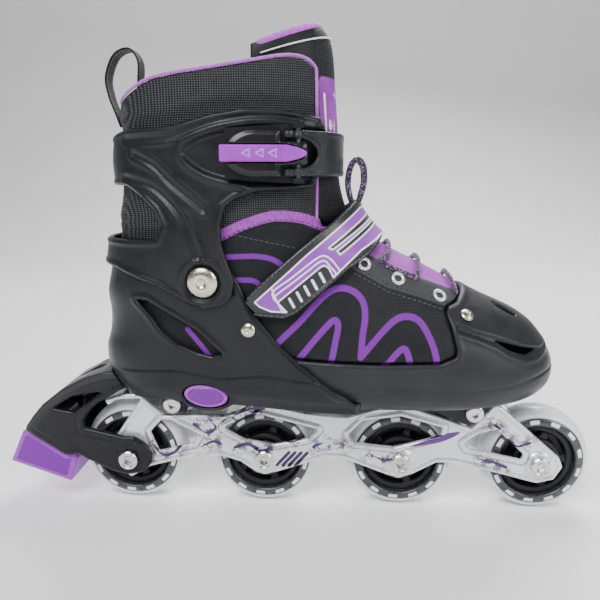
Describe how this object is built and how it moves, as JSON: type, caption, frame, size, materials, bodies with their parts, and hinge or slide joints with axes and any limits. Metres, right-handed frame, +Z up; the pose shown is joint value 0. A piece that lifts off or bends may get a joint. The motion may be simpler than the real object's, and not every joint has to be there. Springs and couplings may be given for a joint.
{
  "type": "inline skate",
  "caption": "Size-adjustable inline skate with a moulded boot, hinged cuff, ratchet buckle, instep strap, soft liner, wheel frame and heel brake",
  "frame": {"origin": "middle of the skate's box, on the ground under the wheels", "axes": "+X towards the toe, +Z up, -Y towards the buckle side, which is the outside of the right foot"},
  "size_m": [0.3839, 0.1116, 0.3035],
  "materials": {
    "shell": "satin moulded plastic, near black",
    "soft_black": "woven mesh and synthetic leather, charcoal",
    "purple": "moulded plastic, purple",
    "frame_paint": "silver-white paint with printed patterns",
    "steel": "plated, slightly warm",
    "tyre": "clear and white cast wheel rubber",
    "hub": "black moulded core",
    "grey_plastic": "grey moulded plastic"
  },
  "bodies": {
    "chassis": {"frame": "frame_paint", "sole_plate": "shell", "mid_block": "grey_plastic", "rear_shell": "shell", "liner": "soft_black", "insole": "grey_plastic", "instep_strap": "soft_black", "laces": "soft_black", "brake_arm": "shell", "brake_pad": "purple", "brake_screw": "steel", "axle_bolt_1": "steel", "axle_bolt_2": "steel", "axle_bolt_3": "steel", "axle_bolt_4": "steel", "axle_nut_1": "steel", "axle_nut_2": "steel", "axle_nut_3": "steel", "axle_nut_4": "steel", "shell_rivet_left": "steel", "shell_rivet_right": "steel", "frame_bolt_rear": "steel", "frame_bolt_front": "steel", "button_spring": "steel"},
    "wheel_1": {"tyre_1": "tyre", "hub_1": "hub", "bearing_1_left": "steel", "bearing_1_right": "steel", "spacer_1": "steel"},
    "wheel_2": {"tyre_2": "tyre", "hub_2": "hub", "bearing_2_left": "steel", "bearing_2_right": "steel", "spacer_2": "steel"},
    "wheel_3": {"tyre_3": "tyre", "hub_3": "hub", "bearing_3_left": "steel", "bearing_3_right": "steel", "spacer_3": "steel"},
    "wheel_4": {"tyre_4": "tyre", "hub_4": "hub", "bearing_4_left": "steel", "bearing_4_right": "steel", "spacer_4": "steel"},
    "upper_cuff": {"cuff": "shell", "pivot_rivet_left": "steel", "pivot_rivet_right": "steel", "liner_collar": "soft_black", "tongue": "soft_black", "buckle_base": "shell", "lever_pin": "steel", "ankle_strap": "shell", "pull_loop": "soft_black"},
    "lever": {"buckle_lever": "shell"},
    "tab": {"release_tab": "purple"},
    "toe": {"toe_shell": "shell", "toe_rivet_left": "steel", "toe_rivet_right": "steel"},
    "size_button": {"push_button": "purple"}
  },
  "joints": [
    {"name": "wheel_spin_1", "type": "hinge", "parent": "chassis", "child": "wheel_1", "pos_m": [-0.1084, 0.003, 0.035], "axis": [0, 1, 0], "continuous": true},
    {"name": "wheel_spin_2", "type": "hinge", "parent": "chassis", "child": "wheel_2", "pos_m": [-0.0198, 0.003, 0.035], "axis": [0, 1, 0], "continuous": true},
    {"name": "wheel_spin_3", "type": "hinge", "parent": "chassis", "child": "wheel_3", "pos_m": [0.0688, 0.003, 0.035], "axis": [0, 1, 0], "continuous": true},
    {"name": "wheel_spin_4", "type": "hinge", "parent": "chassis", "child": "wheel_4", "pos_m": [0.1574, 0.003, 0.035], "axis": [0, 1, 0], "continuous": true},
    {"name": "cuff_pivot", "type": "hinge", "parent": "chassis", "child": "upper_cuff", "pos_m": [-0.0495, 0.003, 0.158], "axis": [0, 1, 0], "range_deg": [0, 8]},
    {"name": "buckle_lever_hinge", "type": "hinge", "parent": "upper_cuff", "child": "lever", "pos_m": [0.0048, -0.0458, 0.2282], "axis": [0, 0, 1], "range_deg": [0, 75]},
    {"name": "release_tab_slide", "type": "slide", "parent": "lever", "child": "tab", "axis": [-0.9903, -0.1392, 0], "range_m": [0, 0.004], "stiffness_N_per_m": 300, "springref_m": -0.002},
    {"name": "toe_slide", "type": "slide", "parent": "chassis", "child": "toe", "axis": [1, 0, 0], "range_m": [0, 0.02]},
    {"name": "button_press", "type": "slide", "parent": "chassis", "child": "size_button", "axis": [0, 1, 0], "range_m": [0, 0.003], "stiffness_N_per_m": 600, "springref_m": -0.001, "deforming": ["button_spring"]}
  ]
}
